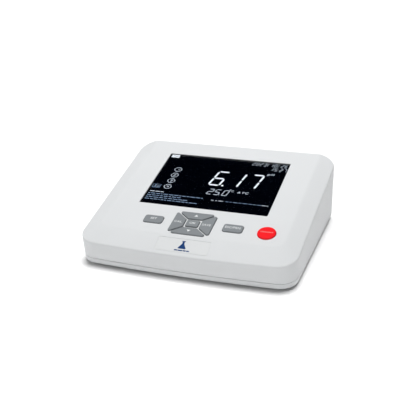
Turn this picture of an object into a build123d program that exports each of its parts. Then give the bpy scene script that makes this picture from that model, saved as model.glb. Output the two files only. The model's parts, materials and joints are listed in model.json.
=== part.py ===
from build123d import *
import os
from math import atan2, cos, radians, sin, tan

os.makedirs("parts", exist_ok=True)

# A benchtop pH meter, in millimetres: +Z up, +X to the right of the person using it, +Y towards the back.
# The origin is on the bench, at the middle of the footprint with its sockets.

# ---- housing ----
width = 239.4
depth = 190.2
front_bow = 4.1
socket_reach = 13.4
slope = radians(12.0)
panel_height = 54.3
bevel_rise = 6.3
side_bevel = 16.9
front_bevel = 23.1
draft = 1.7
draft_level = 28.0
wall = 2.5
front_corner = 20.0
back_corner = 12.5
panel_corner = 12.0
ridge_radius = 8.0
rim_radius = 2.0
seam_height = 9.0
seam_gap = 0.5
belly_height = 2.5
tray_wall = 4.2
tray_floor = 2.5
lip_height = 2.2

y_front = -(depth + socket_reach) / 2
y_back = y_front + depth
y_mid = y_front + depth / 2
shell_base = seam_height + seam_gap / 2
tray_top = seam_height - seam_gap / 2
floor_top = belly_height + tray_floor

# ---- display, measured on the panel: across it and up its slope ----
window_width = 147.3
window_length = 98.8
window_centre = 23.25
window_depth = 0.9
lens_lap = 2.1
lens_thick = 1.0
tape_thick = 0.15
pocket_width = 152.4
pocket_low = -30.8
pocket_high = 75.0
glass_width = 150.6
glass_top = 73.4
front_glass_foot = -30.4
rear_glass_foot = -27.2
glass_thick = 1.1
guide_thick = 3.0
holder_wall = 1.7
holder_top = 2.8

# ---- keys ----
key_rise = 1.4
key_travel = 1.0
key_clearance = 0.25
key_flange = 0.6
key_edge = 0.8
pad_centre = (-0.3, -53.2)
pad_width = 45.8
pad_length = 36.4
pad_gap = 1.5
pad_hole_width = 18.0
pad_hole_length = 14.4
ok_width = 14.2
ok_length = 10.6
side_key_width = 21.6
side_key_length = 12.0
side_key_x = 44.7
power_radius = 9.7
power_centre = (80.8, -54.0)
stem_radius = 2.6
key_stem_depth = 7.5
stem_places = {
    "key_set": (pad_centre[0] - side_key_x, pad_centre[1]),
    "key_print": (pad_centre[0] + side_key_x, pad_centre[1]),
    "key_power": power_centre,
    "key_ok": pad_centre,
    "key_up": (pad_centre[0], pad_centre[1] + 12.6),
    "key_down": (pad_centre[0], pad_centre[1] - 12.6),
    "key_left": (pad_centre[0] - 16.0, pad_centre[1]),
    "key_right": (pad_centre[0] + 16.0, pad_centre[1]),
}

# ---- boards, as depths below the panel and heights above the bench ----
ceiling = 2.75
board_depth = 11.0
board_thick = 1.6
board_half_width = 93.0
board_low = -77.0
board_high = 80.0
mat_left = -58.0
mat_right = 92.0
mat_low = -75.5
mat_high = -33.8
strip_centre = -28.95
strip_length = 138.0
post_places = [(side * 86.0, v) for side in (-1, 1) for v in (72.0, 8.0, -70.0)]
main_board_base = 12.0
main_board_top = main_board_base + board_thick
main_half_width = 80.0
main_front = -18.0
main_back = 81.5
main_posts = [(x, y) for x in (-74.0, 74.0) for y in (main_front + 6, main_back - 6)]
shield_centre = (-62.0, 42.0)
shield_height = 9.0
cell_place = (-34.0, 8.0)
ribbon_v = -14.0
ribbon_y = -9.0
ribbon_width = 22.0

# ---- labels ----
label_width = 57.5
label_length = 16.5
label_middle = 13.4
plate_label_width = 70.0
plate_label_length = 42.0

# ---- fasteners and feet ----
corner_screws = [(x, y) for x in (-104.0, 104.0) for y in (y_front + 26, y_back - 19)]
pillar_base = 10.0
foot_radius = 7.0
foot_recess = 0.8
foot_places = {
    "foot_front_left": (-96.0, y_front + 44),
    "foot_front_right": (96.0, y_front + 44),
    "foot_back_left": (-96.0, y_back - 36),
    "foot_back_right": (96.0, y_back - 36),
}

# ---- connector plate at the back ----
plate_width = 176.0
plate_low = 11.5
plate_high = 49.5
plate_thick = 2.0
plate_inset = 1.5
ledge = 4.0
ledge_depth = 2.5
plate_face = y_back - plate_inset
plate_back = plate_face - plate_thick
plate_screws = [(x, z) for x in (-83.0, 83.0) for z in (plate_low + 4.0, plate_high - 4.0)]
socket_row = 36.0
bnc_x = -62.0
reference_x = -34.0
temperature_x = -8.0
usb_x = 32.0
usb_z = main_board_top + 5.7
power_x = 62.0
power_z = main_board_top + 6.5
bnc_thread = 5.4
small_thread = 4.0
bnc_tip = socket_reach + plate_inset
usb_front = plate_face + 0.3


def keep(piece, name):
    """Label a finished piece and write it out."""
    piece.part.label = name
    export_step(piece.part, f"parts/{name}.step")


def sloping_plane(drop):
    """The plane of the panel, lowered straight down; its own y runs up the slope."""
    return Plane(origin=(0, y_mid, panel_height - drop), x_dir=(1, 0, 0), z_dir=(0, -sin(slope), cos(slope)))


def under(distance):
    """The plane a distance below the panel's surface, square to it."""
    return sloping_plane(0).offset(-distance)


def on_slope(v, distance):
    """The y and z of a point v up the slope and a distance below the panel."""
    y = y_mid + v * cos(slope) + distance * sin(slope)
    return (y, panel_height + v * sin(slope) - distance * cos(slope))


def front_slope(along):
    """The plane of the front bevel, its origin a distance up from the rim along its middle."""
    rise = bevel_rise + front_bevel * tan(slope)
    angle = atan2(rise, front_bevel)
    rim_z = panel_height - bevel_rise - depth / 2 * tan(slope)
    origin = (0, y_front + along * cos(angle), rim_z + along * sin(angle))
    return Plane(origin=origin, x_dir=(1, 0, 0), z_dir=(0, -sin(angle), cos(angle)))


def upright(y):
    """An upright plane across the object; sketch y is height, and extruding goes to the front."""
    return Plane.XZ.offset(-y)


def outline(plane, half_width, front, back, bow, front_radius, back_radius):
    """A rounded rectangle with a bowed front side."""
    with BuildSketch(plane) as sketch:
        with BuildLine():
            left = (-half_width, front + bow)
            right = (half_width, front + bow)
            Polyline(right, (half_width, back), (-half_width, back), left)
            ThreePointArc(left, (0, front), right)
        make_face()
        fillet(sketch.vertices().group_by(Axis.Y)[0], front_radius)
        fillet(sketch.vertices().group_by(Axis.Y)[-1], back_radius)
    return sketch.sketch


def wall_outline(height, inset):
    """The outline of the walls at a height; they lean out a little as they rise."""
    lean = (height - draft_level) * tan(radians(draft)) - inset
    half = width / 2 + lean
    corners = (front_corner - inset, back_corner - inset)
    return outline(Plane.XY.offset(height), half, y_front - lean, y_back - inset, front_bow, *corners)


def crown_outline(spread, inset):
    """The panel's edge at spread 0 and the rim at spread 1; more goes on down the bevels."""
    half = width / 2 + (spread - 1) * side_bevel - 0.2 * inset
    front = (-depth / 2 + front_bevel * (1 - spread) + 0.2 * inset) / cos(slope)
    back = (depth / 2 + 40 + 20 * spread) / cos(slope)
    radius = panel_corner + spread * (front_corner - panel_corner)
    plane = sloping_plane(1.06 * inset + spread * bevel_rise)
    bow = 1 + spread * (front_bow - 1)
    return outline(plane, half, front, back, bow, radius, radius)


def housing_form(inset, floor, softness):
    """The wedge, solid, set in by a wall's thickness: leaning walls cut off by panel and bevels."""
    crown = crown_outline(0, inset)
    skirt = crown_outline(1.6, inset)
    with BuildPart() as cap:
        loft([skirt, crown], ruled=True)
        extrude(skirt, amount=90, dir=(0, 0, -1))
        if softness:
            fillet(cap.faces().sort_by(Axis((0, 0, 0), (0, -sin(slope), cos(slope))))[-1].edges(), softness)
    with BuildPart() as form:
        extrude(wall_outline(floor, inset), amount=95, taper=-draft)
        add(cap.part, mode=Mode.INTERSECT)
    return form.part


def rim_edges(form):
    """The edges between the sloping faces on top and the walls."""
    tops = form.faces().filter_by(lambda face: face.normal_at().Z > 0.5)
    walls = form.faces().filter_by(lambda face: abs(face.normal_at().Z) < 0.2)
    wall_edges = walls.edges()
    return tops.edges().filter_by(lambda edge: any(edge.is_same(other) for other in wall_edges))


def arrow_key(side, grow):
    """One of the four keys round OK, cut off by the diagonals; side is 0 right, 1 up, 2 left, 3 down."""
    along, across = (pad_width, pad_length) if side % 2 == 0 else (pad_length, pad_width)
    inner = (pad_hole_width if side % 2 == 0 else pad_hole_length) / 2
    lean = across / along
    relief = pad_gap / 2 * (1 + lean**2) ** 0.5
    outer = along / 2
    corners = [(inner, lean * inner - relief), (outer, lean * outer - relief)]
    corners += [(a, -b) for a, b in reversed(corners)]
    with BuildSketch() as key:
        with Locations(pad_centre):
            Polygon(*corners, align=None, rotation=90 * side)
        fillet(key.vertices(), 1.8)
        if grow:
            offset(amount=grow)
    return key.sketch


def block_key(place, key_width, key_length, corner, grow):
    """A rounded rectangular key."""
    with BuildSketch() as key:
        with Locations(place):
            RectangleRounded(key_width + 2 * grow, key_length + 2 * grow, corner + grow)
    return key.sketch


def round_key(place, radius):
    """A round key."""
    with BuildSketch() as key:
        with Locations(place):
            Circle(radius)
    return key.sketch


def key_outlines(grow):
    """Every key's outline on the panel, grown by a clearance or a flange."""
    keys = {}
    for side, name in enumerate(("key_right", "key_up", "key_left", "key_down")):
        keys[name] = arrow_key(side, grow)
    keys["key_ok"] = block_key(pad_centre, ok_width, ok_length, 1.6, grow)
    keys["key_set"] = block_key(stem_places["key_set"], side_key_width, side_key_length, 2.8, grow)
    keys["key_print"] = block_key(stem_places["key_print"], side_key_width, side_key_length, 2.8, grow)
    keys["key_power"] = round_key(power_centre, power_radius + grow)
    return keys


def turned(x, z, profile):
    """A turned piece along y; the profile gives (distance behind the connector plate, radius)."""
    with BuildPart() as piece:
        with BuildSketch(Plane(origin=(x, plate_face, z), x_dir=(0, 1, 0), z_dir=(1, 0, 0))):
            Polygon(*profile, align=None)
        revolve(axis=Axis((x, plate_face, z), (0, 1, 0)))
    return piece.part


def hex_nut(x, z, across_flats, hole, start, thickness):
    """A thin panel nut along y, from start behind the connector plate's face."""
    with BuildPart() as nut:
        with BuildSketch(upright(plate_face + start + thickness)):
            with Locations((x, z)):
                RegularPolygon(across_flats / 2, 6, major_radius=False)
                Circle(hole, mode=Mode.SUBTRACT)
        extrude(amount=thickness)
    return nut.part


def pan_screw(head_radius, head_height, shank_radius, length):
    """A cross-recess pan-head screw: its seat is at the origin, its shank goes up +Z."""
    with BuildPart() as screw:
        with BuildSketch():
            Circle(head_radius)
        extrude(amount=-head_height)
        fillet(screw.edges().sort_by(Axis.Z)[0], head_height * 0.45)
        with BuildSketch():
            Circle(shank_radius)
        extrude(amount=length)
        chamfer(screw.edges().sort_by(Axis.Z)[-1], shank_radius * 0.4)
        with BuildSketch(Plane.XY.offset(-head_height)):
            Rectangle(head_radius * 1.1, head_radius * 0.24)
            Rectangle(head_radius * 0.24, head_radius * 1.1)
        extrude(amount=head_height * 0.6, mode=Mode.SUBTRACT)
    return screw.part


label_plane = front_slope(label_middle)

# ---- upper housing: the wedge-shaped shell with its panel, pillars and connector bay ----
pillar_room = housing_form(1.0, shell_base, 0)

with BuildPart() as pillars:
    with BuildSketch(Plane.XY.offset(pillar_base)):
        with Locations(*corner_screws):
            Circle(4.5)
    extrude(amount=80)
    add(pillar_room, mode=Mode.INTERSECT)

with BuildPart() as upper_housing:
    add(housing_form(0, shell_base, ridge_radius))
    fillet(rim_edges(upper_housing), rim_radius)
    add(housing_form(wall, shell_base - 1, 0), mode=Mode.SUBTRACT)
    add(pillars.part)
    with BuildSketch(under(1.5)):
        with Locations(*post_places):
            Circle(3.2)
    extrude(amount=-(board_depth - 1.5))
    with BuildSketch(upright(y_back - 2)):
        with Locations((0, (plate_low + plate_high) / 2 + 0.9)):
            Rectangle(plate_width + 2 * ledge, plate_high - plate_low + 2.2 + ledge)
    extrude(amount=plate_inset + plate_thick + ledge_depth - 2)
    with BuildSketch(upright(y_back + 5)):
        with Locations((0, (plate_low + plate_high) / 2)):
            RectangleRounded(plate_width, plate_high - plate_low, 3)
    extrude(amount=5 + plate_inset + plate_thick, mode=Mode.SUBTRACT)
    with BuildSketch(upright(plate_back)):
        with Locations((0, (plate_low + plate_high) / 2)):
            RectangleRounded(plate_width - 2 * ledge, plate_high - plate_low - 2 * ledge + 1.5, 2)
        with Locations((usb_x, usb_z), (power_x, power_z - 1)):
            Rectangle(14, 13)
    extrude(amount=10, mode=Mode.SUBTRACT)
    with BuildSketch(upright(plate_back)):
        with Locations(*plate_screws):
            Circle(3.6)
    extrude(amount=ledge_depth)
    with BuildSketch(sloping_plane(0)):
        with Locations((0, window_centre)):
            RectangleRounded(window_width, window_length, 1.2)
    extrude(amount=-5, mode=Mode.SUBTRACT)
    with BuildSketch(under(window_depth)):
        with Locations((0, (pocket_low + pocket_high) / 2)):
            RectangleRounded(pocket_width, pocket_high - pocket_low, 1.2)
    extrude(amount=-3, mode=Mode.SUBTRACT)
    for hole in key_outlines(key_clearance).values():
        extrude(sloping_plane(0) * hole, amount=-5, mode=Mode.SUBTRACT)
    panel_face = upper_housing.faces().sort_by(Axis((0, 0, 0), (0, -sin(slope), cos(slope))))[-1]
    fillet([edge for wire in panel_face.inner_wires() for edge in wire.edges()], 0.3)
    with BuildSketch(label_plane.offset(-0.3)):
        RectangleRounded(label_width + 0.6, label_length + 0.6, 1.5)
    extrude(amount=2, mode=Mode.SUBTRACT)
    with BuildSketch(Plane.XY.offset(pillar_base)):
        with Locations(*corner_screws):
            Circle(1.5)
    extrude(amount=12, mode=Mode.SUBTRACT)
    with BuildSketch(under(board_depth)):
        with Locations(*post_places):
            Circle(1.25)
    extrude(amount=7, mode=Mode.SUBTRACT)
    with BuildSketch(upright(plate_back)):
        with Locations(*plate_screws):
            Circle(1.25)
    extrude(amount=10, mode=Mode.SUBTRACT)
keep(upper_housing, "upper_housing")

# ---- lower housing: the tray with its lip, screw pillars and board posts ----
with BuildPart() as lower_housing:
    extrude(wall_outline(tray_top, 0), amount=-(tray_top - belly_height), taper=5)
    fillet(lower_housing.faces().sort_by(Axis.Z)[0].edges(), 2.2)
    extrude(wall_outline(floor_top, tray_wall), amount=10, mode=Mode.SUBTRACT)
    lip = wall_outline(tray_top, wall + 0.25) - wall_outline(tray_top, tray_wall)
    extrude(lip, amount=seam_gap + lip_height)
    with BuildSketch(Plane.XY.offset(tray_top)):
        with Locations((0, y_back - 2)):
            Rectangle(plate_width + 2 * ledge + 4, 12)
    extrude(amount=5, mode=Mode.SUBTRACT)
    with BuildSketch(Plane.XY.offset(belly_height)):
        with Locations(*corner_screws):
            Circle(5)
    extrude(amount=pillar_base - 0.1 - belly_height)
    with BuildSketch(Plane.XY.offset(floor_top - 0.5)):
        with Locations(*main_posts):
            Circle(3.5)
    extrude(amount=main_board_base - floor_top + 0.5)
    with BuildSketch(Plane.XY.offset(belly_height)):
        with Locations(*corner_screws):
            Circle(3.5)
    extrude(amount=3.2, mode=Mode.SUBTRACT)
    with BuildSketch(Plane.XY.offset(belly_height)):
        with Locations(*corner_screws):
            Circle(1.7)
    extrude(amount=10, mode=Mode.SUBTRACT)
    with BuildSketch(Plane.XY.offset(main_board_base)):
        with Locations(*main_posts):
            Circle(1.25)
    extrude(amount=-6.5, mode=Mode.SUBTRACT)
    with BuildSketch(Plane.XY.offset(belly_height)):
        with Locations(*foot_places.values()):
            Circle(foot_radius + 0.3)
    extrude(amount=foot_recess, mode=Mode.SUBTRACT)
    with BuildSketch(Plane.XY.offset(belly_height)):
        RectangleRounded(plate_label_width + 1, plate_label_length + 1, 2)
    extrude(amount=0.4, mode=Mode.SUBTRACT)
keep(lower_housing, "lower_housing")

# ---- rubber feet ----
for foot_name, foot_place in foot_places.items():
    with BuildPart() as foot:
        with BuildSketch():
            with Locations(foot_place):
                Circle(foot_radius)
        extrude(amount=belly_height + foot_recess)
        fillet(foot.edges().sort_by(Axis.Z)[0], 0.8)
    keep(foot, foot_name)

# ---- blank rating plate under the tray, blank label on the front slope ----
with BuildPart() as rating_plate:
    with BuildSketch(Plane.XY.offset(belly_height + 0.1)):
        RectangleRounded(plate_label_width, plate_label_length, 1.5)
    extrude(amount=0.3)
keep(rating_plate, "rating_plate")

with BuildPart() as front_label:
    with BuildSketch(label_plane.offset(-0.05)):
        RectangleRounded(label_width, label_length, 1.2)
    extrude(amount=-0.25)
keep(front_label, "front_label")

# ---- display stack, from the panel inwards ----
lens_width = window_width + 2 * lens_lap
lens_length = window_length + 2 * lens_lap
lens_depth = window_depth + tape_thick
with BuildPart() as window_tape:
    with BuildSketch(under(window_depth)):
        with Locations((0, window_centre)):
            RectangleRounded(lens_width, lens_length, 1.0)
            RectangleRounded(window_width + 0.6, window_length + 0.6, 1.0, mode=Mode.SUBTRACT)
    extrude(amount=-tape_thick)
keep(window_tape, "window_tape")

with BuildPart() as display_window:
    with BuildSketch(under(lens_depth)):
        with Locations((0, window_centre)):
            RectangleRounded(lens_width, lens_length, 1.0)
    extrude(amount=-lens_thick)
keep(display_window, "display_window")

front_glass_depth = lens_depth + lens_thick + 0.3
rear_glass_depth = front_glass_depth + glass_thick
for glass_name, glass_foot, glass_depth in (
    ("lcd_front_glass", front_glass_foot, front_glass_depth),
    ("lcd_rear_glass", rear_glass_foot, rear_glass_depth),
):
    with BuildPart() as glass:
        with BuildSketch(under(glass_depth)):
            with Locations((0, (glass_top + glass_foot) / 2)):
                Rectangle(glass_width, glass_top - glass_foot)
        extrude(amount=-glass_thick)
        chamfer(glass.edges().filter_by(Axis((0, 0, 0), (0, -sin(slope), cos(slope)))), 0.4)
    keep(glass, glass_name)

diffuser_depth = rear_glass_depth + glass_thick + 0.1
with BuildPart() as diffuser_sheet:
    with BuildSketch(under(diffuser_depth)):
        with Locations((0, 22.0)):
            Rectangle(glass_width - 1, 98.0)
    extrude(amount=-0.25)
keep(diffuser_sheet, "diffuser_sheet")

guide_depth = diffuser_depth + 0.3
with BuildPart() as light_guide:
    with BuildSketch(under(guide_depth)):
        with Locations((0, 22.0)):
            RectangleRounded(glass_width - 1, 97.0, 1.5)
    extrude(amount=-guide_thick)
keep(light_guide, "light_guide")

with BuildPart() as backlight_strip:
    with BuildSketch(under(guide_depth)):
        with Locations((0, 72.7)):
            Rectangle(144, 0.8)
        with Locations((0, 71.55)):
            with GridLocations(22, 1, 7, 1):
                Rectangle(3.5, 1.5)
    extrude(amount=-guide_thick)
keep(backlight_strip, "backlight_strip")

holder_low = front_glass_foot - 0.2
holder_high = glass_top + 0.2
holder_floor = guide_depth + guide_thick + 0.1
holder_width = glass_width + 0.4 + 2 * holder_wall
with BuildPart() as display_holder:
    with BuildSketch(under(holder_top)):
        with Locations((0, (holder_low + holder_high) / 2)):
            RectangleRounded(holder_width, holder_high - holder_low + 2 * holder_wall, 2)
    extrude(amount=-(board_depth - 0.05 - holder_top))
    with BuildSketch(under(holder_top)):
        with Locations((0, (holder_low + holder_high) / 2)):
            Rectangle(glass_width + 0.4, holder_high - holder_low)
    extrude(amount=-(holder_floor - holder_top), mode=Mode.SUBTRACT)
    with BuildSketch(under(holder_floor)):
        with Locations((0, strip_centre)):
            Rectangle(strip_length + 2, 2.9)
        with Locations((-40, 22), (40, 22)):
            RectangleRounded(60, 60, 4)
    extrude(amount=-5, mode=Mode.SUBTRACT)
keep(display_holder, "display_holder")

with BuildPart() as connector_strip:
    with BuildSketch(under(rear_glass_depth)):
        with Locations((0, strip_centre)):
            Rectangle(strip_length, 2.1)
    extrude(amount=-(board_depth - rear_glass_depth))
keep(connector_strip, "connector_strip")

# ---- front board, key mat, carbon pills and keys ----
with BuildPart() as front_board:
    with BuildSketch(under(board_depth)):
        with Locations((0, (board_high + board_low) / 2)):
            RectangleRounded(2 * board_half_width, board_high - board_low, 3)
        with Locations(*post_places):
            Circle(1.6, mode=Mode.SUBTRACT)
    extrude(amount=-board_thick)
keep(front_board, "front_board")

mat_depth = board_depth - 1.2
pad_top = key_stem_depth + key_travel + 0.1
with BuildPart() as key_mat:
    with BuildSketch(under(mat_depth)):
        with Locations(((mat_left + mat_right) / 2, (mat_low + mat_high) / 2)):
            RectangleRounded(mat_right - mat_left, mat_high - mat_low, 3)
        with Locations(*post_places):
            Circle(4.0, mode=Mode.SUBTRACT)
    extrude(amount=-(board_depth - mat_depth))
    with BuildSketch(under(mat_depth)):
        with Locations(*stem_places.values()):
            Circle(4.4)
    extrude(amount=mat_depth - pad_top, taper=25)
    with BuildSketch(under(board_depth)):
        with Locations(*stem_places.values()):
            Circle(3.2)
    extrude(amount=0.9, mode=Mode.SUBTRACT)
keep(key_mat, "key_mat")

with BuildPart() as carbon_pills:
    with BuildSketch(under(board_depth - 0.9)):
        with Locations(*stem_places.values()):
            Circle(2.0)
    extrude(amount=-0.4)
keep(carbon_pills, "carbon_pills")

cap_outlines = key_outlines(0)
flange_outlines = key_outlines(key_flange)
for key_name, stem_place in stem_places.items():
    with BuildPart() as key:
        extrude(under(-key_rise) * cap_outlines[key_name], amount=-(key_rise + ceiling + 0.5))
        fillet(key.faces().sort_by(Axis((0, 0, 0), (0, -sin(slope), cos(slope))))[-1].edges(), key_edge)
        extrude(under(ceiling) * flange_outlines[key_name], amount=-1.0)
        with BuildSketch(under(ceiling + 0.5)):
            with Locations(stem_place):
                Circle(stem_radius)
        extrude(amount=-(key_stem_depth - ceiling - 0.5))
    keep(key, key_name)

# ---- main board and what is soldered to it ----
with BuildPart() as main_board:
    with BuildSketch(Plane.XY.offset(main_board_base)):
        with Locations((0, (main_front + main_back) / 2)):
            RectangleRounded(2 * main_half_width, main_back - main_front, 2)
        with Locations(*main_posts):
            Circle(1.6, mode=Mode.SUBTRACT)
    extrude(amount=board_thick)
keep(main_board, "main_board")


def leaded_chip(x, y, body_width, body_length, body_height, legs):
    """A moulded chip with a row of bent legs on its two long sides."""
    with BuildPart() as chip:
        with BuildSketch(Plane.XY.offset(main_board_top + 0.3)):
            with Locations((x, y)):
                RectangleRounded(body_width, body_length, 0.4)
        extrude(amount=body_height)
        chamfer(chip.faces().sort_by(Axis.Z)[-1].edges(), 0.25)
        with BuildSketch(Plane.XY.offset(main_board_top)):
            with Locations((x, y)):
                with GridLocations(body_width + 1.6, (body_length - 1) / (legs - 1), 2, legs):
                    Rectangle(1.8, 0.45)
        extrude(amount=0.5)
    return chip.part


with BuildPart() as processor_chip:
    add(leaded_chip(18, 18, 14, 14, 1.5, 12))
keep(processor_chip, "processor_chip")

with BuildPart() as small_chips:
    for chip_x, chip_y in ((-12, 18), (-12, 34), (48, 18), (18, 44)):
        add(leaded_chip(chip_x, chip_y, 4.2, 7.0, 1.4, 5))
keep(small_chips, "small_chips")

with BuildPart() as capacitors:
    with BuildSketch(Plane.XY.offset(main_board_top)):
        with Locations((56, 42), (67, 42), (67, 30), (4, 58)):
            Circle(4)
    extrude(amount=9.5)
    fillet(capacitors.edges().group_by(Axis.Z)[-1], 0.6)
keep(capacitors, "capacitors")

with BuildPart() as crystal_can:
    with BuildSketch(Plane.XY.offset(main_board_top)):
        with Locations((36, 4)):
            SlotOverall(11, 4.6)
    extrude(amount=3.4)
    fillet(crystal_can.edges().group_by(Axis.Z)[-1], 0.5)
keep(crystal_can, "crystal_can")

with BuildPart() as buzzer:
    with BuildSketch(Plane.XY.offset(main_board_top)):
        with Locations((62, 0)):
            Circle(6)
    extrude(amount=6.5)
    with BuildSketch(Plane.XY.offset(main_board_top + 6.5)):
        with Locations((62, 0)):
            Circle(1.2)
    extrude(amount=-3, mode=Mode.SUBTRACT)
keep(buzzer, "buzzer")

with BuildPart() as shield_can:
    with BuildSketch(Plane.XY.offset(main_board_top)):
        with Locations(shield_centre):
            RectangleRounded(30, 36, 1.5)
    extrude(amount=shield_height)
    fillet(shield_can.faces().sort_by(Axis.Z)[-1].edges(), 1.0)
    with BuildSketch(Plane.XY.offset(main_board_top)):
        with Locations(shield_centre):
            RectangleRounded(29, 35, 1.0)
    extrude(amount=shield_height - 0.5, mode=Mode.SUBTRACT)
    with BuildSketch(Plane.XY.offset(main_board_top + shield_height - 1)):
        with Locations((bnc_x, 50)):
            Circle(1.8)
    extrude(amount=2, mode=Mode.SUBTRACT)
keep(shield_can, "shield_can")

with BuildPart() as cell_holder:
    with BuildSketch(Plane.XY.offset(main_board_top)):
        with Locations(cell_place):
            Circle(12)
            Rectangle(28, 8)
    extrude(amount=4.6)
    with BuildSketch(Plane.XY.offset(main_board_top + 1.2)):
        with Locations(cell_place):
            Circle(10.2)
    extrude(amount=5, mode=Mode.SUBTRACT)
keep(cell_holder, "cell_holder")

with BuildPart() as coin_cell:
    with BuildSketch(Plane.XY.offset(main_board_top + 1.25)):
        with Locations(cell_place):
            Circle(10)
    extrude(amount=3.2)
    fillet(coin_cell.edges().sort_by(Axis.Z)[-1], 0.5)
keep(coin_cell, "coin_cell")

# ---- ribbon between the boards, with a socket on each ----
ribbon_start = on_slope(ribbon_v, board_depth + board_thick + 3.2)
ribbon_turn = on_slope(ribbon_v, board_depth + board_thick + 8.0)
ribbon_low = main_board_top + 3.2
with BuildPart() as ribbon_sockets:
    with BuildSketch(under(board_depth + board_thick)):
        with Locations((0, ribbon_v)):
            Rectangle(ribbon_width + 4, 4)
    extrude(amount=-3)
    with BuildSketch(Plane.XY.offset(main_board_top)):
        with Locations((0, ribbon_y)):
            Rectangle(ribbon_width + 4, 4)
    extrude(amount=3)
keep(ribbon_sockets, "ribbon_sockets")

with BuildPart() as ribbon_cable:
    with BuildSketch(Plane.YZ.offset(-ribbon_width / 2)):
        with BuildLine():
            ribbon_end = (ribbon_y, ribbon_low)
            FilletPolyline(ribbon_start, ribbon_turn, (ribbon_y, ribbon_low + 5), ribbon_end, radius=2.5)
        trace(line_width=0.3)
    extrude(amount=ribbon_width)
keep(ribbon_cable, "ribbon_cable")

# ---- connector plate ----
with BuildPart() as rear_panel:
    with BuildSketch(upright(plate_face)):
        with Locations((0, (plate_low + plate_high) / 2)):
            RectangleRounded(plate_width - 0.5, plate_high - plate_low - 0.5, 2.8)
        with Locations(*plate_screws):
            Circle(1.6, mode=Mode.SUBTRACT)
        with Locations((bnc_x, socket_row)):
            Circle(bnc_thread + 0.05, mode=Mode.SUBTRACT)
        with Locations((reference_x, socket_row)):
            Circle(small_thread + 0.05, mode=Mode.SUBTRACT)
        with Locations((temperature_x, socket_row)):
            Circle(small_thread + 0.05, mode=Mode.SUBTRACT)
        with Locations((usb_x, usb_z)):
            Rectangle(12.4, 11.2, mode=Mode.SUBTRACT)
        with Locations((power_x, power_z)):
            Circle(4.6, mode=Mode.SUBTRACT)
    extrude(amount=plate_thick)
keep(rear_panel, "rear_panel")

# ---- electrode socket: bayonet shell, insulator, centre contact, washer and nut ----
shell_tail = [(-13, 0), (-13, 4.5), (-5, 4.5), (-5, 7), (-plate_thick, 7), (-plate_thick, bnc_thread)]
shell_nose = [(4.4, bnc_thread), (4.4, 4.8), (bnc_tip, 4.8), (bnc_tip, 0)]
shell_bore = [(-14, 0), (-14, 3.35), (6, 3.35), (6, 4.05), (20, 4.05), (20, 0)]
insulator_profile = [(-12, 1), (-12, 3.3), (5.9, 3.3), (5.9, 2.4), (bnc_tip - 2, 2.4), (bnc_tip - 2, 1)]
contact_profile = [(-15, 0), (-15, 0.95), (bnc_tip - 2.5, 0.95), (bnc_tip - 2.5, 0.5), (7, 0.5), (7, 0)]
with BuildPart() as bnc_shell:
    add(turned(bnc_x, socket_row, shell_tail + shell_nose))
    with BuildSketch(Plane.YZ.offset(bnc_x - 5.7)):
        with Locations((plate_face + bnc_tip - 4.6, socket_row)):
            Circle(0.95)
    extrude(amount=11.4)
    add(turned(bnc_x, socket_row, shell_bore), mode=Mode.SUBTRACT)
keep(bnc_shell, "bnc_shell")

with BuildPart() as bnc_insulator:
    add(turned(bnc_x, socket_row, insulator_profile))
keep(bnc_insulator, "bnc_insulator")

with BuildPart() as bnc_contact:
    add(turned(bnc_x, socket_row, contact_profile))
keep(bnc_contact, "bnc_contact")

with BuildPart() as bnc_washer:
    add(turned(bnc_x, socket_row, [(0, bnc_thread + 0.1), (0, 8), (0.8, 8), (0.8, bnc_thread + 0.1)]))
keep(bnc_washer, "bnc_washer")

with BuildPart() as bnc_nut:
    add(hex_nut(bnc_x, socket_row, 14, bnc_thread + 0.05, 0.85, 2.6))
    chamfer(bnc_nut.edges().group_by(Axis.Y)[-1].filter_by(GeomType.LINE), 0.4)
keep(bnc_nut, "bnc_nut")

# ---- reference socket: insulated body round a 4 mm sleeve ----
body_profile = [(-10, 3), (-10, small_thread), (0, small_thread), (0, 6), (6.4, 6), (7.2, 5.2), (7.2, 3)]
sleeve_profile = [(-13, 0), (-13, 1.2), (-9, 1.2), (-9, 2.95), (6.8, 2.95), (6.8, 2), (-7.5, 2), (-7.5, 0)]
with BuildPart() as reference_body:
    add(turned(reference_x, socket_row, body_profile))
keep(reference_body, "reference_body")

with BuildPart() as reference_sleeve:
    add(turned(reference_x, socket_row, sleeve_profile))
keep(reference_sleeve, "reference_sleeve")

# ---- temperature socket: phono shell, insulator with the pin's bore, contact and nut ----
phono_tail = [(-9, 3.25), (-9, small_thread), (0, small_thread), (0, 5.6)]
phono_nose = [(1.2, 5.6), (1.2, 4.15), (9.5, 4.15), (9.5, 3.25)]
core_profile = [(-10, 0.8), (-10, 3.2), (9.5, 3.2), (9.5, 1.65), (0.5, 1.65), (0.5, 0.8)]
with BuildPart() as temperature_shell:
    add(turned(temperature_x, socket_row, phono_tail + phono_nose))
keep(temperature_shell, "temperature_shell")

with BuildPart() as temperature_insulator:
    add(turned(temperature_x, socket_row, core_profile))
keep(temperature_insulator, "temperature_insulator")

with BuildPart() as temperature_contact:
    add(turned(temperature_x, socket_row, [(-13, 0), (-13, 0.75), (0.4, 0.75), (0.4, 0)]))
keep(temperature_contact, "temperature_contact")

with BuildPart() as socket_nuts:
    for nut_x in (reference_x, temperature_x):
        add(hex_nut(nut_x, socket_row, 11, small_thread + 0.05, -plate_thick - 2.4, 2.35))
keep(socket_nuts, "socket_nuts")

# ---- USB socket: folded shell round a moulded insert with its tongue ----
with BuildPart() as usb_shell:
    with BuildSketch(upright(usb_front)):
        with Locations((usb_x, usb_z)):
            RectangleRounded(12, 10.9, 0.6)
            Rectangle(11.2, 10.1, mode=Mode.SUBTRACT)
    extrude(amount=16)
keep(usb_shell, "usb_shell")

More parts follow.
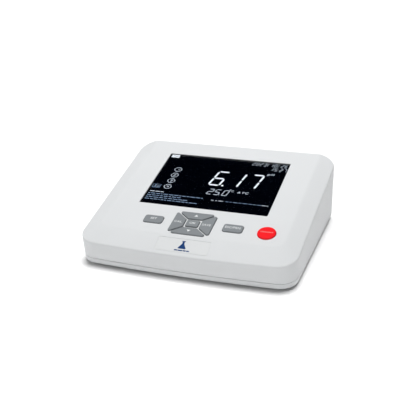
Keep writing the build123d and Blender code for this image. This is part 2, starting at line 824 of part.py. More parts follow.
with BuildPart() as usb_insert:
    with BuildSketch(upright(usb_front - 0.3)):
        with Locations((usb_x, usb_z)):
            Rectangle(11.15, 10.05)
    extrude(amount=15.5)
    with BuildSketch(upright(usb_front)) as usb_mouth:
        with Locations((usb_x, usb_z)):
            Rectangle(8.45, 7.78)
        chamfer(usb_mouth.vertices().group_by(Axis.Y)[-1], 1.6)
    extrude(amount=9.5, mode=Mode.SUBTRACT)
    with BuildSketch(upright(usb_front - 1.2)):
        with Locations((usb_x, usb_z)):
            RectangleRounded(5.6, 3.2, 0.4)
    extrude(amount=9)
keep(usb_insert, "usb_insert")

# ---- power jack: moulded body with a round mouth and its centre pin ----
with BuildPart() as power_jack:
    with BuildSketch(upright(plate_back - 0.2)):
        with Locations((power_x, power_z - 0.75)):
            Rectangle(9, 11.5)
    extrude(amount=14)
    with BuildSketch(upright(plate_face + 0.2)):
        with Locations((power_x, power_z)):
            Circle(4.4)
    extrude(amount=4)
    with BuildSketch(upright(plate_face + 0.2)):
        with Locations((power_x, power_z)):
            Circle(3.2)
    extrude(amount=10.5, mode=Mode.SUBTRACT)
    with BuildSketch(upright(plate_face - 10.3)):
        with Locations((power_x, power_z)):
            Circle(1.05)
    extrude(amount=3, mode=Mode.SUBTRACT)
keep(power_jack, "power_jack")

with BuildPart() as power_pin:
    with BuildSketch(upright(plate_face - 1.0)):
        with Locations((power_x, power_z)):
            Circle(1.0)
    extrude(amount=12)
    fillet(power_pin.edges().sort_by(Axis.Y)[-1], 0.4)
keep(power_pin, "power_pin")

# ---- shielded lead from the electrode socket down into the shield can ----
with BuildPart() as input_coax:
    with BuildLine():
        FilletPolyline((bnc_x, plate_face - 15.2, socket_row), (bnc_x, 50, socket_row),
                       (bnc_x, 50, main_board_top + shield_height - 3), radius=8)
    with BuildSketch(upright(plate_face - 15.2)):
        with Locations((bnc_x, socket_row)):
            Circle(1.4)
    sweep()
keep(input_coax, "input_coax")

# ---- screws, each kind in one node ----
with BuildPart() as housing_screws:
    with Locations(*[(x, y, belly_height + 3.2) for x, y in corner_screws]):
        add(pan_screw(2.9, 2.1, 1.4, 14))
keep(housing_screws, "housing_screws")

with BuildPart() as board_screws:
    with Locations(under(board_depth + board_thick)):
        with Locations(*post_places):
            add(pan_screw(2.4, 1.7, 1.15, 7))
keep(board_screws, "board_screws")

with BuildPart() as main_board_screws:
    with Locations(*[(x, y, main_board_top) for x, y in main_posts]):
        add(pan_screw(2.4, 1.7, 1.15, 6), rotation=(180, 0, 0))
keep(main_board_screws, "main_board_screws")

with BuildPart() as rear_panel_screws:
    with Locations(upright(plate_face)):
        with Locations(*plate_screws):
            add(pan_screw(2.4, 1.2, 1.15, 7))
keep(rear_panel_screws, "rear_panel_screws")
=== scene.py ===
import json
import math

import bmesh
import bpy
from mathutils import Matrix, Vector


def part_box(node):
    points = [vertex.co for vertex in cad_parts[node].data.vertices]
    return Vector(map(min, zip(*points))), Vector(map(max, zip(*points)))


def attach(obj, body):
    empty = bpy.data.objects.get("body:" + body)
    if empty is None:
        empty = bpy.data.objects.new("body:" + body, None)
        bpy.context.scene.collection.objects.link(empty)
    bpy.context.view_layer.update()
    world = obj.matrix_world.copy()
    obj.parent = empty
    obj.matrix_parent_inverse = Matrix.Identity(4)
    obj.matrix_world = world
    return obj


# A benchtop pH meter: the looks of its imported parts, and the printing and display image laid on them.

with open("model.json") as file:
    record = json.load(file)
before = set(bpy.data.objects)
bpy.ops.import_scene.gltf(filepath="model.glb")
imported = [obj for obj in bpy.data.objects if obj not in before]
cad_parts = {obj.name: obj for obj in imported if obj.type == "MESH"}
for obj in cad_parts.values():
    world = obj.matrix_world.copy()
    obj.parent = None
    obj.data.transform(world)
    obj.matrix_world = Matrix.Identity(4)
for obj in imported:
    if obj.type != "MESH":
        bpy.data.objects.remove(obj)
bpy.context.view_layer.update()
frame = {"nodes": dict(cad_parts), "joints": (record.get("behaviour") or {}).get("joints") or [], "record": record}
nodes = frame["nodes"]
MM = 0.001
ACROSS = Vector((1, 0, 0))
OUT = -Vector(next(j["axis"] for j in frame["joints"] if j["name"] == "press_ok")).normalized()
UP_SLOPE = OUT.cross(ACROSS)
SINK = 0.01 * MM  # how far printing is sunk into the face under it
GLASS_GAP = 0.03 * MM  # how far the lit segments stand off the display glass


# ---------------------------------------------------------------- measuring the frame
def reach(node, direction):
    """How far a node's furthest vertex lies along a direction."""
    return max(v.co.dot(direction) for v in nodes[node].data.vertices)


def top_centre(node, direction=OUT, slack=0.00003):
    """The middle of a node's outermost face."""
    level = reach(node, direction)
    rim = [v.co for v in nodes[node].data.vertices if v.co.dot(direction) > level - slack]
    lean = ACROSS.cross(direction)
    across = [p.dot(ACROSS) for p in rim]
    along = [p.dot(lean) for p in rim]
    middle = ACROSS * (min(across) + max(across)) / 2 + lean * (min(along) + max(along)) / 2
    return middle + direction * level


def widest_face(node):
    """The normal of a node's largest flat face that looks up."""
    faces = [f for f in nodes[node].data.polygons if f.normal.z > 0.2]
    return max(faces, key=lambda f: f.area).normal.normalized()


def face_frame(origin, x_axis, normal):
    """A matrix whose x and y lie in a face and whose z stands out of it."""
    y_axis = normal.cross(x_axis)
    turn = Matrix((x_axis, y_axis, normal)).transposed().to_4x4()
    return Matrix.Translation(origin) @ turn


# ---------------------------------------------------------------- materials
def new_material(name, colour, roughness, metallic=0.0):
    """A material with one Principled shader; returns it with its node tree and shader."""
    material = bpy.data.materials.new(name)
    material.use_nodes = True
    tree = material.node_tree
    shader = tree.nodes["Principled BSDF"]
    shader.inputs["Base Color"].default_value = (*colour, 1)
    shader.inputs["Roughness"].default_value = roughness
    shader.inputs["Metallic"].default_value = metallic
    return material, tree, shader


def noise(tree, scale, detail=3.0):
    """Noise over the object's own coordinates; scale is in features per metre."""
    place = tree.nodes.new("ShaderNodeTexCoord")
    texture = tree.nodes.new("ShaderNodeTexNoise")
    texture.inputs["Scale"].default_value = scale
    texture.inputs["Detail"].default_value = detail
    tree.links.new(place.outputs["Object"], texture.inputs["Vector"])
    return texture.outputs["Fac"]


def ramp(tree, factor, low, high, start=0.3, end=0.7):
    """Two colours blended along a factor."""
    blend = tree.nodes.new("ShaderNodeValToRGB")
    blend.color_ramp.elements[0].position = start
    blend.color_ramp.elements[0].color = (*low, 1)
    blend.color_ramp.elements[1].position = end
    blend.color_ramp.elements[1].color = (*high, 1)
    tree.links.new(factor, blend.inputs["Fac"])
    return blend.outputs["Color"]


def spread(tree, factor, low, high):
    """A factor stretched between two numbers."""
    node = tree.nodes.new("ShaderNodeMapRange")
    node.inputs["To Min"].default_value = low
    node.inputs["To Max"].default_value = high
    tree.links.new(factor, node.inputs["Value"])
    return node.outputs["Result"]


def bump(tree, shader, height, strength, distance, under=None):
    """A bump from a height; returns its normal so that another can lie on it."""
    node = tree.nodes.new("ShaderNodeBump")
    node.inputs["Strength"].default_value = strength
    node.inputs["Distance"].default_value = distance
    tree.links.new(height, node.inputs["Height"])
    if under:
        tree.links.new(under, node.inputs["Normal"])
    tree.links.new(node.outputs["Normal"], shader.inputs["Normal"])
    return node.outputs["Normal"]


def shade(colour, gain):
    """A colour made lighter or darker."""
    return tuple(min(1.0, c * gain) for c in colour)


def mottle(tree, shader, colour, texture, low, high, socket="Base Color"):
    """Clouds of slightly darker and lighter colour."""
    clouds = ramp(tree, texture, shade(colour, low), shade(colour, high))
    tree.links.new(clouds, shader.inputs[socket])


def uneven_sheen(tree, shader, texture, low, high):
    """A roughness that wavers between two values."""
    tree.links.new(spread(tree, texture, low, high), shader.inputs["Roughness"])


def moulded(name, colour, roughness, grain=2600, depth=0.25, drift=0.02, specular=0.5):
    """Injection-moulded plastic: spark-eroded grain, faint flow clouds, uneven sheen."""
    material, tree, shader = new_material(name, colour, roughness)
    shader.inputs["Specular IOR Level"].default_value = specular
    mottle(tree, shader, colour, noise(tree, 22, 2), 1 - drift, 1 + drift)
    uneven_sheen(tree, shader, noise(tree, 160, 4), roughness - 0.06, roughness + 0.06)
    fine = bump(tree, shader, noise(tree, grain, 2), depth, 0.00006)
    bump(tree, shader, noise(tree, grain / 4, 3), depth * 0.6, 0.0001, fine)
    return material


def rubber(name, colour, roughness=0.75):
    """Rubber or silicone: soft sheen, dusty clouds and a leathery fine grain."""
    material, tree, shader = new_material(name, colour, roughness)
    shader.inputs["Sheen Weight"].default_value = 0.15
    shader.inputs["Sheen Roughness"].default_value = 0.5
    mottle(tree, shader, colour, noise(tree, 90, 4), 0.8, 1.3)
    bump(tree, shader, noise(tree, 1800, 4), 0.35, 0.00008)
    return material


def plated(name, colour, roughness, brushed=0):
    """Plated or brushed metal; brushed is the number of scratches per metre along x."""
    material, tree, shader = new_material(name, colour, roughness, 1.0)
    mottle(tree, shader, colour, noise(tree, 300, 3), 0.88, 1.06)
    uneven_sheen(tree, shader, noise(tree, 700, 4), roughness * 0.7, roughness * 1.4)
    if brushed:
        place = tree.nodes.new("ShaderNodeTexCoord")
        stretch = tree.nodes.new("ShaderNodeMapping")
        stretch.inputs["Scale"].default_value = (0.05, 1, 1)
        grain = tree.nodes.new("ShaderNodeTexNoise")
        grain.inputs["Scale"].default_value = brushed
        tree.links.new(place.outputs["Object"], stretch.inputs["Vector"])
        tree.links.new(stretch.outputs["Vector"], grain.inputs["Vector"])
        bump(tree, shader, grain.outputs["Fac"], 0.3, 0.00003)
    return material


def clear(name, colour, roughness, ior):
    """Clear acrylic or glass with faint smears."""
    material, tree, shader = new_material(name, colour, roughness)
    shader.inputs["Transmission Weight"].default_value = 1.0
    shader.inputs["IOR"].default_value = ior
    shader.inputs["Specular IOR Level"].default_value = 0.2
    uneven_sheen(tree, shader, noise(tree, 60, 5), roughness * 0.5, roughness * 2)
    return material


def dark_glass(name, colour, roughness):
    """A display's front glass: black where nothing is lit, but for a little leaking backlight."""
    material, tree, shader = new_material(name, colour, roughness)
    shader.inputs["Emission Color"].default_value = (0.00018, 0.0005, 0.002, 1)
    shader.inputs["Emission Strength"].default_value = 1.0
    shader.inputs["Specular IOR Level"].default_value = 0.25
    mottle(tree, shader, colour, noise(tree, 30, 2), 1, 1.6)
    uneven_sheen(tree, shader, noise(tree, 45, 3), roughness * 0.7, roughness * 1.5)
    return material


def glowing(name, colour, strength, waver=0.08):
    """A lit part of the display, slightly uneven where the backlight is."""
    material, tree, shader = new_material(name, (0.02, 0.02, 0.02), 0.5)
    mottle(tree, shader, colour, noise(tree, 60, 1), 1 - waver, 1, "Emission Color")
    shader.inputs["Emission Strength"].default_value = strength
    return material


def printed(name, colour, roughness=0.5):
    """Screen-printed ink: slightly thin in places."""
    material, tree, shader = new_material(name, colour, roughness)
    mottle(tree, shader, colour, noise(tree, 2500, 3), 0.9, 1.05)
    return material


def board_mask(name):
    """Green solder mask over copper tracks."""
    material, tree, shader = new_material(name, (0.03, 0.22, 0.10), 0.35)
    tracks = tree.nodes.new("ShaderNodeTexBrick")
    tracks.inputs["Scale"].default_value = 120
    tracks.inputs["Mortar Size"].default_value = 0.12
    tracks.inputs["Color1"].default_value = (0.02, 0.17, 0.07, 1)
    tracks.inputs["Color2"].default_value = (0.03, 0.20, 0.09, 1)
    tracks.inputs["Mortar"].default_value = (0.06, 0.32, 0.14, 1)
    place = tree.nodes.new("ShaderNodeTexCoord")
    tree.links.new(place.outputs["Object"], tracks.inputs["Vector"])
    tree.links.new(tracks.outputs["Color"], shader.inputs["Base Color"])
    bump(tree, shader, tracks.outputs["Fac"], 0.2, 0.00005)
    return material


materials = {
    "housing_plastic": moulded("housing_plastic", (0.72, 0.735, 0.745), 0.5, drift=0.008, specular=0.35),
    "panel_plastic": moulded("panel_plastic", (0.50, 0.515, 0.53), 0.5),
    "key_grey": moulded("key_grey", (0.245, 0.262, 0.275), 0.5, grain=3600, drift=0.02, specular=0.25),
    "key_red": moulded("key_red", (0.90, 0.019, 0.025), 0.5, grain=3600, drift=0.02, specular=0.08),
    "window_clear": clear("window_clear", (0.97, 0.98, 0.99), 0.02, 1.49),
    "lcd_glass": dark_glass("lcd_glass", (0.0001, 0.00015, 0.0004), 0.06),
    "adhesive": rubber("adhesive", (0.03, 0.03, 0.03)),
    "white_plastic": moulded("white_plastic", (0.80, 0.80, 0.78), 0.55),
    "conductive_rubber": rubber("conductive_rubber", (0.02, 0.02, 0.02)),
    "silicone": rubber("silicone", (0.45, 0.47, 0.48), 0.6),
    "board_green": board_mask("board_green"),
    "black_plastic": moulded("black_plastic", (0.022, 0.022, 0.024), 0.45),
    "insert_plastic": moulded("insert_plastic", (0.78, 0.78, 0.75), 0.4),
    "tin_plate": plated("tin_plate", (0.62, 0.62, 0.61), 0.35, brushed=900),
    "ribbon": moulded("ribbon", (0.62, 0.66, 0.72), 0.4),
    "nickel": plated("nickel", (0.70, 0.68, 0.64), 0.18),
    "gold_plate": plated("gold_plate", (0.83, 0.60, 0.24), 0.22),
    "screw_steel": plated("screw_steel", (0.56, 0.57, 0.58), 0.32, brushed=1200),
    "foot_rubber": rubber("foot_rubber", (0.03, 0.03, 0.032)),
    "label_film": moulded("label_film", (0.735, 0.75, 0.755), 0.38, grain=4000, depth=0.08, drift=0.004),
}
slot_of = {part["node"]: part["material_slot"] for part in frame["record"]["subparts"]}
for node_name, node in nodes.items():
    node.data.materials.clear()
    node.data.materials.append(materials[slot_of[node_name]])


# ---------------------------------------------------------------- flat artwork
class Artwork:
    """Thin solid shapes lying on a face, gathered into one piece. Sizes are in millimetres."""

    def __init__(self, thickness=0.05):
        self.mesh = bmesh.new()
        self.thickness = thickness

    def polygon(self, points):
        """A closed prism over an outline given anticlockwise."""
        low = [self.mesh.verts.new((x, y, 0)) for x, y in points]
        high = [self.mesh.verts.new((x, y, self.thickness)) for x, y in points]
        self.mesh.faces.new(reversed(low))
        self.mesh.faces.new(high)
        for i, j in zip(range(len(points)), [*range(1, len(points)), 0]):
            self.mesh.faces.new((low[i], low[j], high[j], high[i]))

    def bar(self, start, end, width, taper=0.5):
        """A stroke with pointed ends, as a display segment has; taper 0 leaves them square."""
        a, b = Vector(start), Vector(end)
        along = (b - a).normalized()
        side = Vector((-along.y, along.x)) * width / 2
        cut = along * width * taper
        corners = [a, a + cut - side, b - cut - side, b, b - cut + side, a + cut + side]
        if not taper:
            corners = [a - side, b - side, b + side, a + side]
        self.polygon([tuple(c) for c in corners])

    def ring(self, centre, radius, width, start=0.0, end=360.0, sides=36, squash=1.0):
        """An arc of a band round a centre."""
        steps = max(3, round(sides * (end - start) / 360))
        closed = end - start >= 360
        count = steps if closed else steps + 1
        angles = [math.radians(start + (end - start) * k / steps) for k in range(count)]
        loops = []
        for angle in angles:
            x, y = math.cos(angle), math.sin(angle) * squash
            loops.append([self.mesh.verts.new((centre[0] + r * x, centre[1] + r * y, z))
                          for r, z in ((radius - width, 0), (radius, 0), (radius, self.thickness),
                                       (radius - width, self.thickness))])
        for k in range(len(loops) if closed else len(loops) - 1):
            a, b = loops[k], loops[(k + 1) % len(loops)]
            for i in range(4):
                j = (i + 1) % 4
                self.mesh.faces.new((a[i], a[j], b[j], b[i]))
        if not closed:
            self.mesh.faces.new(reversed(loops[0]))
            self.mesh.faces.new(loops[-1])

    def disc(self, centre, radius, sides=32):
        self.polygon([(centre[0] + radius * math.cos(2 * math.pi * k / sides),
                       centre[1] + radius * math.sin(2 * math.pi * k / sides)) for k in range(sides)])

    def rounded(self, centre, width, height, radius, sides=5):
        """A rounded rectangle."""
        points = []
        for quarter, (sx, sy) in enumerate(((1, 1), (-1, 1), (-1, -1), (1, -1))):
            corner = (centre[0] + sx * (width / 2 - radius), centre[1] + sy * (height / 2 - radius))
            for k in range(sides + 1):
                angle = math.radians(90 * quarter + 90 * k / sides)
                points.append((corner[0] + radius * math.cos(angle), corner[1] + radius * math.sin(angle)))
        self.polygon(points)

    def text(self, words, centre, height, slant=0.0, stretch=1.0, weight=0.0, spacing=1.0):
        """Plain lettering in Blender's own font; height is a capital's height."""
        curve = bpy.data.curves.new("words", "FONT")
        curve.body = words
        curve.size = height / 0.72
        curve.align_x = "CENTER"
        curve.shear = slant
        curve.extrude = self.thickness / 2
        curve.offset = weight
        curve.space_character = spacing
        curve.resolution_u = 3
        holder = bpy.data.objects.new("words", curve)
        bpy.context.scene.collection.objects.link(holder)
        bpy.context.view_layer.update()
        mesh = bpy.data.meshes.new_from_object(holder.evaluated_get(bpy.context.evaluated_depsgraph_get()))
        bpy.data.objects.remove(holder)
        mesh.transform(Matrix.Translation((centre[0], centre[1] - height / 2, self.thickness / 2))
                       @ Matrix.Diagonal((stretch, 1, 1, 1)))
        self.mesh.from_mesh(mesh)
        bpy.data.meshes.remove(mesh)

    def lay(self, name, face, body, material):
        """Put the artwork on a face frame as one piece that rides on a body."""
        bmesh.ops.remove_doubles(self.mesh, verts=self.mesh.verts, dist=1e-5)
        bmesh.ops.recalc_face_normals(self.mesh, faces=self.mesh.faces)
        self.mesh.transform(face @ Matrix.Scale(MM, 4))
        mesh = bpy.data.meshes.new(name)
        self.mesh.to_mesh(mesh)
        self.mesh.free()
        mesh.materials.append(material)
        piece = bpy.data.objects.new(name, mesh)
        bpy.context.scene.collection.objects.link(piece)
        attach(piece, body)
        return piece


# ---------------------------------------------------------------- display
SEGMENTS = {
    "0": "abcdef", "1": "bc", "2": "abged", "3": "abgcd",
    "4": "fgbc", "5": "afgcd", "6": "afgedc", "7": "abc",
    "8": "abcdefg", "9": "abcdfg",
}


def digit(art, character, left, foot, width, height, stroke, slant):
    """One seven-segment digit leaning to the right."""
    gap = stroke * 0.28
    half = stroke / 2
    x0, x1 = left + half, left + width - half
    y0, y1, y2 = foot + half, foot + height / 2, foot + height - half
    ends = {
        "a": ((x0, y2), (x1, y2)), "g": ((x0, y1), (x1, y1)), "d": ((x0, y0), (x1, y0)),
        "f": ((x0, y1), (x0, y2)), "e": ((x0, y0), (x0, y1)),
        "b": ((x1, y1), (x1, y2)), "c": ((x1, y0), (x1, y1)),
    }
    for segment in SEGMENTS[character]:
        start, end = (Vector(p) for p in ends[segment])
        along = (end - start).normalized() * gap
        start, end = start + along, end - along
        art.bar(*((p.x + slant * (p.y - foot), p.y) for p in (start, end)), stroke)


def number(art, words, left, foot, width, height, stroke, pitch, slant=0.195):
    """A row of digits; a point or a colon takes no digit's place, a slash takes most of one."""
    x = left
    for character in words:
        if character == ".":
            art.rounded((x - (pitch - width) / 2 + slant * stroke / 2, foot + stroke * 0.55),
                        stroke * 1.1, stroke * 1.1, stroke * 0.25)
        elif character == ":":
            for rise in (0.3, 0.7):
                dot_x = x - (pitch - width) / 2 + 0.3 + slant * height * rise
                art.disc((dot_x, foot + height * rise), stroke * 0.6, 12)
            x += (pitch - width) * 0.8
        elif character == "/":
            art.bar((x, foot + stroke), (x + width * 0.55, foot + height - stroke), stroke * 0.9)
            x += pitch * 0.8
        else:
            digit(art, character, x, foot, width, height, stroke, slant)
            x += pitch


glass_level = reach("lcd_front_glass", OUT)
window_middle = top_centre("display_window")
screen_origin = window_middle + OUT * (glass_level + GLASS_GAP - window_middle.dot(OUT))
screen = face_frame(screen_origin, ACROSS, OUT)
white_light = glowing("display_white", (0.88, 0.94, 1.0), 1.25)
soft_light = glowing("display_soft", (0.78, 0.88, 1.0), 1.15)
blue_light = glowing("display_blue", (0.24, 0.36, 0.54), 1.0)

reading = Artwork()
number(reading, "6.17", -9.9, -3.4, 14.5, 28.2, 2.15, 20.5)
reading.lay("display_reading", screen, "housing", white_light)

small = Artwork()
number(small, "25.", -5.7, -20.2, 5.9, 10.2, 0.62, 8.2)
number(small, "0", 12.0, -20.2, 5.9, 10.2, 0.62, 8.2)
number(small, "2023/10/26", 29.4, 42.4, 2.5, 6.0, 0.3, 4.45)
number(small, "15:27", 52.6, 34.4, 2.7, 5.8, 0.32, 4.7)
small.lay("display_small_numbers", screen, "housing", soft_light)

words = Artwork()
words.text("pH", (56.3, 27.3), 4.2, slant=0.15, weight=-0.06, spacing=1.3)
words.ring((20.0, -8.6), 0.7, 0.3)
words.text("C", (22.8, -10.6), 3.2, weight=-0.05)
words.text("ATC", (35.0, -11.6), 3.9, slant=0.1, stretch=1.05, weight=-0.06, spacing=1.3)
words.lay("display_words", screen, "housing", soft_light)

tag = Artwork()
tag.rounded((-66.9, 46.5), 9.8, 5.4, 0.4)
tag.lay("display_tag", screen, "housing", white_light)
tag_ink = Artwork(0.08)
tag_ink.bar((-70.2, 46.0), (-68.4, 47.3), 0.7, 0)
tag_ink.bar((-68.2, 47.3), (-66.4, 46.0), 0.7, 0)
tag_ink.bar((-66.0, 46.6), (-63.4, 46.6), 0.9, 0)
tag_ink.lay("display_tag_ink", screen, "housing", materials["black_plastic"])

icons = Artwork()
for order, height in enumerate((20.1, 8.7, -2.5, -14.0)):
    middle = (-53.8, height)
    for start in (40, 220):
        icons.ring(middle, 4.5, 0.6, start, start + 100, squash=0.92)
    for start in (-28, 152):
        icons.ring(middle, 4.5, 0.6, start, start + 56, squash=0.92)
    digit(icons, str(order + 1), middle[0] - 1.4, height - 1.7, 2.4, 3.6, 0.55, 0.1)
icons.lay("display_icons", screen, "housing", soft_light)

vessel = Artwork()
vessel.rounded((-67.2, -14.4), 9.6, 6.6, 0.7)
vessel.lay("display_vessel", screen, "housing", blue_light)
vessel_ink = Artwork(0.08)
vessel_ink.rounded((-67.2, -14.2), 8.8, 5.8, 0.5)
vessel_ink.lay("display_vessel_ink", screen, "housing", materials["black_plastic"])
probe = Artwork(0.11)
probe.bar((-68.6, -12.0), (-68.6, -15.6), 1.1, 0)
probe.disc((-68.6, -15.7), 0.85, 16)
probe.bar((-66.4, -15.6), (-63.8, -15.6), 0.8, 0)
probe.bar((-66.4, -13.6), (-63.8, -13.6), 0.5, 0)
probe.lay("display_probe", screen, "housing", blue_light)


def greeked(art, left, right, middle, height, seed, gap=1.2):
    """A line of small print as plain dashes of word length."""
    x = left
    step = seed
    while x < right - 1.0:
        step = (step * 37 + 11) % 101
        length = min(1.4 + step / 101 * 4.4, right - x)
        art.bar((x, middle), (x + length, middle), height, 0)
        x += length + gap


heading = Artwork()
greeked(heading, -70.8, -54.4, -24.9, 0.9, 5, 0.9)
greeked(heading, 4.0, 20.0, -30.2, 0.7, 9, 1.8)
greeked(heading, 62.0, 68.8, -30.2, 0.7, 4, 1.4)
heading.lay("display_heading", screen, "housing", soft_light)
small_print = Artwork()
greeked(small_print, 21.0, 61.0, -30.2, 0.7, 9, 1.5)
for line, (middle, right) in enumerate(((-28.8, -6.0), (-32.3, -31.0), (-35.8, -20.0), (-39.3, -9.0))):
    greeked(small_print, -71.6, right, middle, 1.0, 3 + 7 * line)
small_print.lay("display_small_print", screen, "housing", blue_light)


# ---------------------------------------------------------------- key legends
legend_ink = printed("legend_ink", (0.78, 0.80, 0.81))
legend_light = printed("legend_light", (0.82, 0.42, 0.40))


def legend(node, draw, ink=legend_ink):
    """Printing on a key's top, riding with the key."""
    art = Artwork(0.04)
    draw(art)
    face = face_frame(top_centre(node) - OUT * SINK, ACROSS, OUT)
    art.lay(node.replace("key_", "legend_"), face, node, ink)


legend("key_set", lambda art: art.text("SET", (0, 0.8), 2.8, stretch=1.25, weight=0.06))
legend("key_print", lambda art: art.text("ESC/PRN", (-0.2, 0.8), 3.3, stretch=0.93, weight=0.04,
                                         spacing=1.05))
legend("key_ok", lambda art: art.text("OK", (0, 0.4), 2.9, stretch=1.2, weight=0.06))
legend("key_left", lambda art: art.text("CAL", (-0.4, 0.3), 2.9, stretch=1.1, weight=0.05, spacing=1.1))
legend("key_right", lambda art: art.text("SAVE", (-0.2, -0.2), 3.1, stretch=0.95, weight=0.05, spacing=1.1))
legend("key_up", lambda art: art.polygon([(-2.2, -1.5), (2.2, -1.5), (0, 1.8)]))
legend("key_down", lambda art: art.polygon([(-2.2, 1.5), (0, -1.8), (2.2, 1.5)]))
legend("key_power", lambda art: art.text("ON/OFF", (0, 0.9), 2.1, stretch=1.2, spacing=1.1), legend_light)


# ---------------------------------------------------------------- labels
label_normal = widest_face("front_label")
label_middle = top_centre("front_label", label_normal) - label_normal * SINK
label_face = face_frame(label_middle, ACROSS, label_normal)
blue_ink = printed("blue_ink", (0.010, 0.05, 0.18))

flask = Artwork(0.04)
flask.polygon([(-1.2, 5.0), (-1.2, 2.2), (-4.4, -3.0), (-3.8, -3.9),
               (3.8, -3.9), (4.4, -3.0), (1.2, 2.2), (1.2, 5.0)])
flask.rounded((0, 5.6), 4.0, 1.0, 0.4)
flask.lay("label_flask", label_face, "housing", blue_ink)
rule = Artwork(0.04)
greeked(rule, -7.4, 9.0, -6.0, 1.4, 12, 0.5)
rule.lay("label_line", label_face, "housing", blue_ink)


back_ink = printed("back_ink", (0.04, 0.04, 0.045))
socket_words = Artwork(0.04)
socket_rows = (
    (("bnc_nut", "pH"), ("reference_body", "REF"), ("temperature_shell", "ATC")),
    (("usb_shell", "USB"), ("power_jack", "DC 9V")),
)
for row in socket_rows:
    level = max(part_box(socket)[1].z for socket, word in row) / MM + 3.0
    for socket, word in row:
        low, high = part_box(socket)
        socket_words.text(word, (-(low.x + high.x) / 2 / MM, level), 2.4, stretch=1.1, spacing=1.1)
panel_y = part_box("rear_panel")[1].y - SINK
back_face = face_frame(Vector((0, panel_y, 0)), -ACROSS, Vector((0, 1, 0)))
socket_words.lay("socket_words", back_face, "housing", back_ink)

rating = Artwork(0.04)
for row, right in enumerate((22.0, 6.0, 14.0, -4.0, 18.0)):
    greeked(rating, -29.0, right, 11.0 - 5.0 * row, 1.3, 20 + row)
rating.ring((26.0, -11.0), 5.0, 0.5)
rating.bar((23.0, -11.0), (29.0, -11.0), 0.5, 0)
rating.bar((26.0, -14.0), (26.0, -8.0), 0.5, 0)
plate_low, plate_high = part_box("rating_plate")
rating_middle = (plate_low + plate_high) / 2
rating_origin = Vector((rating_middle.x, rating_middle.y, plate_low.z + SINK))
rating_face = face_frame(rating_origin, ACROSS, Vector((0, 0, -1)))
rating.lay("rating_lines", rating_face, "housing", back_ink)


# ---------------------------------------------------------------- camera
CAMERA_AZIMUTH = math.radians(21.32)
CAMERA_ELEVATION = math.radians(25.49)
CAMERA_ROLL = math.radians(3.02)
CAMERA_AIM = Vector((-5.18, 6.10, 28.97)) * MM
CAMERA_DISTANCE = 878.99  # in millimetres
CAMERA_LENS = 66.63
CAMERA_SENSOR = 36


def camera():
    """A long lens from the front right, a little above, rolled by three degrees."""
    roll = CAMERA_ROLL
    level = math.cos(CAMERA_ELEVATION)
    back = Vector((math.sin(CAMERA_AZIMUTH) * level, -math.cos(CAMERA_AZIMUTH) * level,
                   math.sin(CAMERA_ELEVATION)))
    right = Vector((0, 0, 1)).cross(back).normalized()
    up = back.cross(right)
    x_axis = right * math.cos(roll) - up * math.sin(roll)
    y_axis = right * math.sin(roll) + up * math.cos(roll)
    data = bpy.data.cameras.new("camera")
    data.lens = CAMERA_LENS
    data.sensor_width = CAMERA_SENSOR
    holder = bpy.data.objects.new("camera", data)
    turn = Matrix((x_axis, y_axis, back)).transposed().to_4x4()
    holder.matrix_world = Matrix.Translation(CAMERA_AIM + back * CAMERA_DISTANCE * MM) @ turn
    bpy.context.scene.collection.objects.link(holder)
    bpy.context.scene.camera = holder


def softbox(name, place, aim, size, power):
    """A rectangular lamp that mirrors don't see."""
    data = bpy.data.lights.new(name, "AREA")
    data.shape = "RECTANGLE"
    data.size, data.size_y = size
    data.energy = power
    lamp = bpy.data.objects.new(name, data)
    direction = Vector(aim) - Vector(place)
    lamp.location = place
    lamp.rotation_euler = direction.to_track_quat("-Z", "Y").to_euler()
    lamp.visible_glossy = False
    bpy.context.scene.collection.objects.link(lamp)
    return lamp


def even_light(name, heading, power, spread_angle):
    """A lamp as even as the sun, soft by its apparent width."""
    data = bpy.data.lights.new(name, "SUN")
    data.energy = power
    data.angle = spread_angle
    lamp = bpy.data.objects.new(name, data)
    lamp.rotation_euler = Vector(heading).to_track_quat("-Z", "Y").to_euler()
    bpy.context.scene.collection.objects.link(lamp)
    return lamp


def linked_to_floor(name, lamp, only_floor):
    """Let a lamp light only the floor, or everything but the floor."""
    receivers = bpy.data.collections.new(name)
    receivers.objects.link(floor)
    if not only_floor:
        receivers.collection_objects[0].light_linking.link_state = "EXCLUDE"
    lamp.light_linking.receiver_collection = receivers


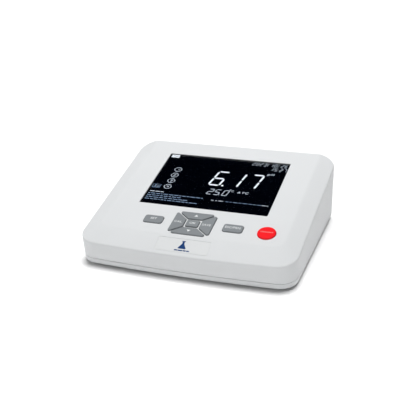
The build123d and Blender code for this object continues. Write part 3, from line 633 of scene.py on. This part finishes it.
def studio_flag(tree, towards, start, end, left_over):
    """A dark cloth in the white surroundings, off in one direction."""
    direction = tree.nodes.new("ShaderNodeTexCoord")
    facing = tree.nodes.new("ShaderNodeVectorMath")
    facing.operation = "DOT_PRODUCT"
    facing.inputs[1].default_value = towards
    tree.links.new(direction.outputs["Generated"], facing.inputs[0])
    return ramp(tree, facing.outputs["Value"], (1, 1, 1), (left_over,) * 3, start, end)


camera()
overhead = softbox("overhead", (-0.05, 0.2, 1.6), (0, 0, 0.03), (0.8, 0.8), 24.5)
softbox("front_fill", (-0.6, -1.7, 0.8), (0, 0, 0.04), (1.4, 0.8), 0.2)
floor_wash = even_light("floor_wash", (-0.03, -0.30, -1.6), 3.5, math.radians(27))

OVER_THE_DISPLAY = (-0.33, 0.59, 0.735)  # where the display would mirror the white surroundings
RIGHT_HAND_SIDE = (0.95, 0.3, 0.0)
WORLD_STRENGTH = 0.40
FLOOR_HALF = 6.0
FLOOR_DROP = 0.0001

world = bpy.data.worlds.new("world")
world.use_nodes = True
backdrop = world.node_tree.nodes["Background"]
backdrop.inputs["Strength"].default_value = WORLD_STRENGTH
dimmer = studio_flag(world.node_tree, OVER_THE_DISPLAY, 0.72, 0.9, 0.0)
side = studio_flag(world.node_tree, RIGHT_HAND_SIDE, 0.0, 0.8, 0.05)
both = world.node_tree.nodes.new("ShaderNodeVectorMath")
both.operation = "MULTIPLY"
world.node_tree.links.new(dimmer, both.inputs[0])
world.node_tree.links.new(side, both.inputs[1])
world.node_tree.links.new(both.outputs["Vector"], backdrop.inputs["Color"])
bpy.context.scene.world = world
bpy.context.scene.view_settings.view_transform = "Standard"

floor_mesh = bpy.data.meshes.new("floor")
corners = [(x * FLOOR_HALF, y * FLOOR_HALF, 0) for x, y in ((-1, -1), (1, -1), (1, 1), (-1, 1))]
floor_mesh.from_pydata(corners, [], [(0, 1, 2, 3)])
floor = bpy.data.objects.new("floor", floor_mesh)
floor.location.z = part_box("foot_front_left")[0].z - FLOOR_DROP
floor_material, floor_tree, floor_shader = new_material("floor", (0.93, 0.93, 0.93), 0.9)
floor_shader.inputs["Specular IOR Level"].default_value = 0.0
floor_mesh.materials.append(floor_material)
bpy.context.scene.collection.objects.link(floor)
linked_to_floor("floor_only", floor_wash, True)
linked_to_floor("all_but_floor", overhead, False)
